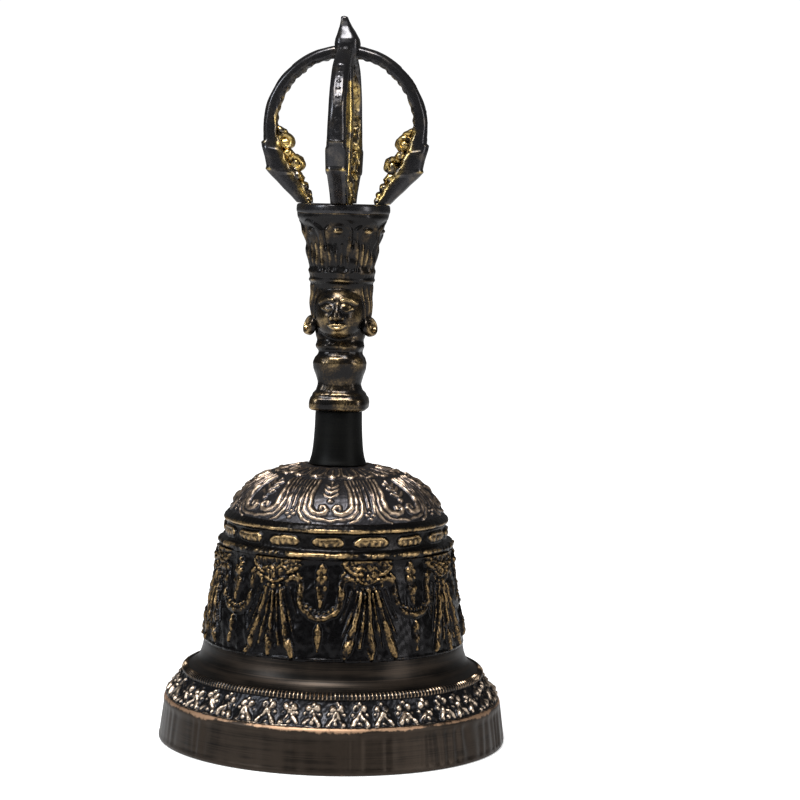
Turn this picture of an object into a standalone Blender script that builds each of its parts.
"""A Tibetan hand bell: a cast bell, its neck ferrule, a figured handle, a five-pronged head and a clapper.

Metres, +Z up. The origin is the centre of the rim's flat underside, and the handle's face looks along -Y.
The bell, ferrule, handle and head are held together by the hanger, an iron rod bedded in the hollow handle.
Its lower end is a loop, from which a link and the clapper hang.
"""

import math

import bmesh
import bpy
from mathutils import Matrix, Vector

MM = 0.001

# Driving dimensions, in millimetres.
GAP = 0.3                   # clearance between pieces that touch
TOTAL_HEIGHT = 175.0        # rim to spike tip
RIM_RADIUS = 42.2           # the bell's widest point
LIP_WIDTH = 5.4             # flat ring that the bell stands on
BELL_TOP = 66.9             # seat of the neck ferrule
CROWN_INSIDE = 63.7         # underside of the bell's crown
CROWN_HOLE_RADIUS = 2.9
FERRULE_TOP = 80.2
HANDLE_FOOT = FERRULE_TOP + GAP
HANDLE_TOP = 127.6
HANDLE_BORE_RADIUS = 3.6
HANDLE_BORE_TOP = 107.0
SEAT_RADIUS = 11.3
SEAT_THICKNESS = 2.1
CAGE_RADIUS = 19.7          # outer radius of the arched prongs
CAGE_CENTRE_Z = 148.0       # height of the arch's centre
PRONG_WIDTH = 5.0
PRONG_COUNT = 4
HUB_HALF = 2.8              # half the width of the block where the prongs meet
HANGER_RADIUS = 2.0
LOOP_WIRE = 1.1             # wire radius of the hanger's loop
LOOP_RADIUS = 3.2           # centreline radius of the hanger's loop
LOOP_CENTRE_Z = 56.6
LINK_WIRE = 0.9
LINK_RADIUS = 2.2           # centreline radius of the link's round ends
LINK_STRAIGHT = 5.0
EYE_WIRE = 0.9
EYE_RADIUS = 2.2
EYE_STRAIGHT = 2.0
ROD_RADIUS = 1.3
BOB_RADIUS = 6.6
BOB_CENTRE_Z = 14.0

# Heights that follow from them.
SEAT_BOTTOM = HANDLE_TOP + GAP
SEAT_TOP = SEAT_BOTTOM + SEAT_THICKNESS
LINK_PIVOT_Z = LOOP_CENTRE_Z - LOOP_RADIUS
CLAPPER_PIVOT_Z = LINK_PIVOT_Z - LINK_STRAIGHT - LINK_RADIUS
EYE_BOTTOM_Z = CLAPPER_PIVOT_Z - EYE_STRAIGHT - EYE_RADIUS - EYE_WIRE

BELL_STEPS = 60             # facets round the bell
SMALL_STEPS = 28            # facets round the smaller turned pieces

FINISHES = {                # colour, roughness, metallic
    "bell_bronze": ((0.075, 0.055, 0.042), 0.42, 0.9),
    "handle_bronze": ((0.085, 0.062, 0.045), 0.45, 0.9),
    "ferrule_black": ((0.030, 0.028, 0.027), 0.55, 0.7),
    "prong_bronze": ((0.060, 0.055, 0.058), 0.38, 0.9),
    "clapper_iron": ((0.110, 0.100, 0.095), 0.50, 0.9),
    "pitch": ((0.040, 0.022, 0.012), 0.60, 0.0),
}


def clear_scene():
    for old in list(bpy.data.objects):
        bpy.data.objects.remove(old)


def finish(slot):
    """The material of that finish, made once."""
    made = bpy.data.materials.get(slot)
    if made is None:
        colour, roughness, metallic = FINISHES[slot]
        made = bpy.data.materials.new(slot)
        made.use_nodes = True
        shader = made.node_tree.nodes["Principled BSDF"]
        shader.inputs["Base Color"].default_value = (*colour, 1)
        shader.inputs["Roughness"].default_value = roughness
        shader.inputs["Metallic"].default_value = metallic
    return made


def add_object(name, bm, slot=None):
    """Turns a bmesh drawn in millimetres into a named object in metres."""
    bmesh.ops.scale(bm, vec=(MM, MM, MM), verts=bm.verts)
    bmesh.ops.recalc_face_normals(bm, faces=bm.faces)
    mesh = bpy.data.meshes.new(name)
    bm.to_mesh(mesh)
    bm.free()
    mesh.shade_smooth()
    mesh.set_sharp_from_angle(angle=math.radians(35))
    made = bpy.data.objects.new(name, mesh)
    bpy.context.scene.collection.objects.link(made)
    if slot:
        mesh.materials.append(finish(slot))
    return made


def join_solids(target, others, operation="UNION"):
    """Boolean modifiers on target for each helper, which is then only a cutter or a guide."""
    for other in others:
        cut = target.modifiers.new(other.name, "BOOLEAN")
        cut.operation = operation
        cut.object = other
        other.hide_render = True
        other.display_type = "WIRE"


def smooth_curve(points, steps):
    """Points along a Catmull-Rom curve through the given ones, with `steps` to each stretch."""
    ends = [points[0], *points, points[-1]]
    curve = []
    for before, a, b, after in zip(ends, ends[1:], ends[2:], ends[3:], strict=False):
        for i in range(steps):
            t = i / steps
            curve.append(tuple(
                0.5 * (2 * q + (r - p) * t + (2 * p - 5 * q + 4 * r - s) * t * t
                       + (3 * q - p - 3 * r + s) * t ** 3)
                for p, q, r, s in zip(before, a, b, after, strict=True)
            ))
    return [*curve, tuple(points[-1])]


def arc(centre, radius, start, end, steps):
    """Points on a circle round (x, z) from one angle to another, in degrees from +X towards +Z."""
    angles = (math.radians(start + (end - start) * i / steps) for i in range(steps + 1))
    return [(centre[0] + radius * math.cos(a), centre[1] + radius * math.sin(a)) for a in angles]


def turned(profile, steps=SMALL_STEPS):
    """A closed (radius, height) outline spun round the Z axis."""
    bm = bmesh.new()
    verts = [bm.verts.new((r, 0, z)) for r, z in profile]
    edges = [bm.edges.new((a, b)) for a, b in zip(verts, verts[1:] + verts[:1], strict=True)
             if math.hypot(a.co.x, b.co.x) > 1e-6]
    bmesh.ops.spin(bm, geom=verts + edges, cent=(0, 0, 0), axis=(0, 0, 1),
                   angle=2 * math.pi, steps=steps, use_merge=True)
    bmesh.ops.remove_doubles(bm, verts=bm.verts, dist=1e-4)
    return bm


def section(bm, z, half_x, half_y, power, count=24, shift_y=0.0):
    """A closed superellipse loop of edges at height z: power 2 is round, and higher is squarer."""
    verts = []
    for i in range(count):
        a = 2 * math.pi * (i + 0.5) / count
        c, s = math.cos(a), math.sin(a)
        x = half_x * math.copysign(abs(c) ** (2 / power), c)
        y = half_y * math.copysign(abs(s) ** (2 / power), s)
        verts.append(bm.verts.new((x, y + shift_y, z)))
    return [bm.edges.new((a, b)) for a, b in zip(verts, verts[1:] + verts[:1], strict=True)]


def lofted(sections, count=24):
    """A closed body bridged through superellipse sections given as (z, half_x, half_y, power)."""
    bm = bmesh.new()
    loops = [section(bm, *s, count=count) for s in sections]
    for low, high in zip(loops, loops[1:], strict=False):
        bmesh.ops.bridge_loops(bm, edges=low + high)
    for end in (loops[0], loops[-1]):
        bmesh.ops.contextual_create(bm, geom=end)
    return bm


def wire_ring(radius, straight, wire, top_z, plane, round_steps=14, wire_steps=10):
    """A closed ring of round wire with two half-circle ends; top_z is the upper end's centre."""
    line = [(x, top_z + z) for x, z in arc((0, 0), radius, 0, 180, round_steps)]
    line += [(x, top_z - straight + z) for x, z in arc((0, 0), radius, 180, 360, round_steps)]
    if straight == 0:
        line = line[:round_steps] + line[round_steps + 1:-1]
    bm = bmesh.new()
    loops = []
    for (x0, z0), (x, z), (x1, z1) in zip(line[-1:] + line[:-1], line, line[1:] + line[:1], strict=True):
        along = Vector((x1 - x0, 0, z1 - z0)).normalized()
        across = along.cross(Vector((0, 1, 0)))
        centre = Vector((x, 0, z))
        verts = []
        for k in range(wire_steps):
            a = 2 * math.pi * k / wire_steps
            verts.append(bm.verts.new(centre + wire * (math.cos(a) * across + math.sin(a) * Vector((0, 1, 0)))))
        loops.append([bm.edges.new((a, b)) for a, b in zip(verts, verts[1:] + verts[:1], strict=True)])
    for one, other in zip(loops, loops[1:] + loops[:1], strict=True):
        bmesh.ops.bridge_loops(bm, edges=one + other)
    if plane == "YZ":
        bmesh.ops.rotate(bm, verts=bm.verts, cent=(0, 0, 0), matrix=Matrix.Rotation(math.radians(90), 3, "Z"))
    return bm


def make_bell():
    """The cast bell: flared lip, plain cove, frieze, two ridges and a domed crown with a centre hole."""
    rim = [(RIM_RADIUS - 0.5, 0.0), (RIM_RADIUS, 0.6), (40.9, 10.2), (40.5, 10.9)]
    lip_frieze = [(39.4, 11.7), (37.9, 13.6), (36.8, 15.8)]
    bead_ring = arc((35.5, 17.1), 1.1, -10, 110, 3)
    cove = smooth_curve([(34.3, 18.4), (32.8, 19.8), (32.0, 21.8), (31.5, 24.2)], 2)
    frieze = smooth_curve([(31.5, 25.0), (30.9, 30.5), (29.6, 36.5), (28.1, 47.2)], 2)
    lower_ridge = [(28.2, 47.9), (27.8, 49.2)]
    band = [(27.1, 49.9), (26.7, 53.4)]
    upper_ridge = [(26.9, 54.1), (26.5, 55.4)]
    dome = smooth_curve([(25.5, 56.2), (24.0, 59.0), (21.2, 62.1), (16.6, 64.7), (9.4, 66.5)], 2)
    crown = [(8.4, BELL_TOP), (CROWN_HOLE_RADIUS, BELL_TOP)]
    inside = smooth_curve([
        (CROWN_HOLE_RADIUS + 5.5, CROWN_INSIDE), (15.0, 61.6), (20.4, 57.2), (23.6, 51.0),
        (25.6, 44.0), (27.6, 33.0), (28.9, 24.0), (31.6, 14.0), (RIM_RADIUS - LIP_WIDTH, 0.0),
    ], 2)
    outline = rim + lip_frieze + bead_ring + cove + frieze + lower_ridge + band + upper_ridge
    outline += dome + crown + [(CROWN_HOLE_RADIUS, CROWN_INSIDE)] + inside
    add_object("bell_body", turned(outline, BELL_STEPS), "bell_bronze")


def make_ferrule():
    """The plain tapered collar between the bell's crown and the handle."""
    foot = BELL_TOP + GAP
    outer = [(6.9, foot), (6.9, foot + 0.5), (6.35, foot + 2.6), (6.1, 73.0), (5.7, 79.6), (5.6, FERRULE_TOP)]
    bore = HANGER_RADIUS + 0.6
    add_object("neck_ferrule", turned([*outer, (bore, FERRULE_TOP), (bore, foot)]), "ferrule_black")


def make_handle():
    """The hollow handle casting: foot slab, vase, bust, head with ear rosettes, and flared crown."""
    sections = [
        (HANDLE_FOOT, 6.5, 6.5, 4), (81.1, 7.05, 7.05, 4), (83.8, 7.05, 7.05, 4), (84.4, 6.5, 6.5, 4),
        (84.7, 5.8, 5.8, 3), (86.2, 5.5, 5.5, 3), (87.1, 5.15, 5.15, 2.6), (88.6, 5.6, 5.5, 2.6),
        (90.4, 6.2, 6.1, 2.6), (92.0, 6.4, 6.3, 2.6), (93.4, 6.0, 5.9, 2.6), (94.2, 5.6, 5.5, 2.6),
        (95.6, 5.95, 5.6, 2.6), (97.2, 5.5, 5.3, 2.4), (99.0, 6.1, 5.8, 2.3), (102.0, 6.9, 6.5, 2.2),
        (106.0, 7.3, 7.0, 2.2), (110.0, 7.3, 7.2, 2.2), (112.4, 7.7, 7.6, 2.3), (116.0, 8.25, 8.1, 2.4),
        (120.4, 8.8, 8.7, 2.4), (123.0, 9.7, 9.6, 2.3), (125.0, 10.6, 10.5, 2.2), (HANDLE_TOP, 11.1, 11.1, 2),
    ]
    grip = add_object("handle_grip", lofted(sections), "handle_bronze")

    face = bmesh.new()
    bmesh.ops.create_uvsphere(face, u_segments=20, v_segments=12, radius=1)
    bmesh.ops.scale(face, vec=(5.5, 6.6, 6.5), verts=face.verts)
    bmesh.ops.translate(face, vec=(0, -2.1, 104.4), verts=face.verts)
    helpers = [add_object("face_helper", face)]
    for side in (-1, 1):
        rosette = bmesh.new()
        bmesh.ops.create_uvsphere(rosette, u_segments=12, v_segments=8, radius=2.1)
        bmesh.ops.scale(rosette, vec=(0.95, 1.3, 1.1), verts=rosette.verts)
        bmesh.ops.translate(rosette, vec=(side * 7.1, -1.2, 100.6), verts=rosette.verts)
        helpers.append(add_object(f"rosette_helper_{side}", rosette))
    join_solids(grip, helpers)

    bore = bmesh.new()
    depth = HANDLE_BORE_TOP - HANDLE_FOOT + 5
    bmesh.ops.create_cone(bore, cap_ends=True, segments=20, radius1=HANDLE_BORE_RADIUS,
                          radius2=HANDLE_BORE_RADIUS, depth=depth)
    bmesh.ops.translate(bore, vec=(0, 0, HANDLE_BORE_TOP - depth / 2), verts=bore.verts)
    join_solids(grip, [add_object("bore_cutter", bore)], "DIFFERENCE")


def make_pitch():
    """The set pitch that fills the handle's bore and grips the hanger's shank."""
    outer, inner = HANDLE_BORE_RADIUS - GAP, HANGER_RADIUS + GAP
    low, high = HANDLE_FOOT + 1, HANDLE_BORE_TOP - GAP
    cap = high - 2
    outline = [(outer, low), (outer, high), (0, high), (0, cap), (inner, cap), (inner, low)]
    add_object("handle_pitch", turned(outline, 20), "pitch")


def make_seat():
    """The round plate that closes the crown and carries the prongs."""
    edge = SEAT_THICKNESS / 2
    outline = [(0, SEAT_BOTTOM), (SEAT_RADIUS - 0.5, SEAT_BOTTOM), (SEAT_RADIUS, SEAT_BOTTOM + edge),
               (SEAT_RADIUS - 0.4, SEAT_TOP), (0, SEAT_TOP)]
    add_object("prong_seat", turned(outline), "handle_bronze")


def prong_outline():
    """The (radius, height) outline of an outer prong: beast-headed root, collar and arch."""
    foot = SEAT_TOP + GAP
    end = HUB_HALF + GAP
    root_back = [(11.0, foot), (12.8, 131.9), (16.9, 135.7), (18.9, 138.0), (19.0, 141.0)]
    collar = [(20.1, 142.6), (20.1, 144.8)]
    stop = math.degrees(math.acos(end / CAGE_RADIUS))
    outer = arc((0, CAGE_CENTRE_Z), CAGE_RADIUS, -6, stop, 14)
    inside_radius, inside_z = 16.2, CAGE_CENTRE_Z + 0.9
    start = math.degrees(math.acos(end / inside_radius))
    inner = arc((0, inside_z), inside_radius, start, -3, 12)
    snout = [(13.4, 147.3), (11.9, 145.6), (12.0, 143.3), (10.6, 142.3), (9.3, 140.4), (8.8, 137.4), (8.0, 135.0),
             (7.4, foot)]
    return root_back + collar + outer + inner + snout


def make_outer_prongs():
    for index, name in enumerate(("right", "back", "left", "front")):
        bm = bmesh.new()
        face = bm.faces.new([bm.verts.new((r, -PRONG_WIDTH / 2, z)) for r, z in prong_outline()])
        swept = bmesh.ops.extrude_face_region(bm, geom=[face])
        moved = [v for v in swept["geom"] if isinstance(v, bmesh.types.BMVert)]
        bmesh.ops.translate(bm, vec=(0, PRONG_WIDTH, 0), verts=moved)
        turn = Matrix.Rotation(2 * math.pi * index / PRONG_COUNT, 3, "Z")
        bmesh.ops.rotate(bm, verts=bm.verts, cent=(0, 0, 0), matrix=turn)
        add_object(f"prong_{name}", bm, "prong_bronze")


def make_centre_prong():
    """The straight fifth prong: a square bar with a bud foot, the hub block and the spike."""
    foot = SEAT_TOP + GAP
    spike_base = 168.6
    halves = [
        (foot, 2.2), (132.2, 2.6), (134.0, 2.1), (135.2, 2.4), (137.0, 1.5), (150.0, 1.9), (163.0, 1.4),
        (164.8, HUB_HALF), (168.0, HUB_HALF), (spike_base, 3.0), (170.0, 2.5), (171.3, 1.9), (173.4, 1.3),
        (174.6, 1.0), (TOTAL_HEIGHT, 0.4),
    ]
    add_object("centre_prong", lofted([(z, h, h, 9) for z, h in halves], count=8), "prong_bronze")


def make_hanger():
    """The iron hanger: a straight shank, a shoulder under the crown and a round loop."""
    loop = add_object("hanger", wire_ring(LOOP_RADIUS, 0, LOOP_WIRE, LOOP_CENTRE_Z, "XZ"), "clapper_iron")
    shoulder_low, shoulder_high, shank_top = 60.0, 62.0, 104.0
    outline = [(0, shoulder_low), (2.7, shoulder_low), (2.7, shoulder_high), (HANGER_RADIUS, shoulder_high),
               (HANGER_RADIUS, shank_top), (0, shank_top)]
    join_solids(loop, [add_object("shank_helper", turned(outline, 16))])

    low, high = shoulder_high + GAP, CROWN_INSIDE - GAP
    inner, outer = HANGER_RADIUS + GAP, 7.2
    washer = [(inner, low), (outer, low), (outer, high), (inner, high)]
    add_object("hanger_washer", turned(washer, 24), "clapper_iron")


def make_clapper():
    """The link, the clapper's rod with its eye and riveted foot, and the bob on the rod."""
    link = wire_ring(LINK_RADIUS, LINK_STRAIGHT, LINK_WIRE, LINK_PIVOT_Z, "YZ", 12, 8)
    add_object("clapper_link", link, "clapper_iron")

    eye = wire_ring(EYE_RADIUS, EYE_STRAIGHT, EYE_WIRE, CLAPPER_PIVOT_Z, "XZ", 12, 8)
    rod = add_object("clapper_rod", eye, "clapper_iron")
    bob_low, bob_high = BOB_CENTRE_Z - 6.2, BOB_CENTRE_Z + 9.0
    rivet_top = bob_low - GAP
    shaft = [(0, EYE_BOTTOM_Z + EYE_WIRE), (ROD_RADIUS, EYE_BOTTOM_Z + EYE_WIRE), (ROD_RADIUS, rivet_top),
             (2.3, rivet_top), (1.9, rivet_top - 1.2), (0, rivet_top - 1.5)]
    join_solids(rod, [add_object("shaft_helper", turned(shaft, 14))])

    bore = ROD_RADIUS + GAP
    belly = smooth_curve([(3.4, bob_low), (5.9, BOB_CENTRE_Z - 3.4), (BOB_RADIUS, BOB_CENTRE_Z),
                          (5.6, BOB_CENTRE_Z + 3.8), (3.3, BOB_CENTRE_Z + 6.8), (2.4, bob_high)], 2)
    add_object("clapper_bob", turned([*belly, (bore, bob_high), (bore, bob_low)], 24), "clapper_iron")


def main():
    clear_scene()
    make_bell()
    make_ferrule()
    make_handle()
    make_pitch()
    make_seat()
    make_outer_prongs()
    make_centre_prong()
    make_hanger()
    make_clapper()


main()
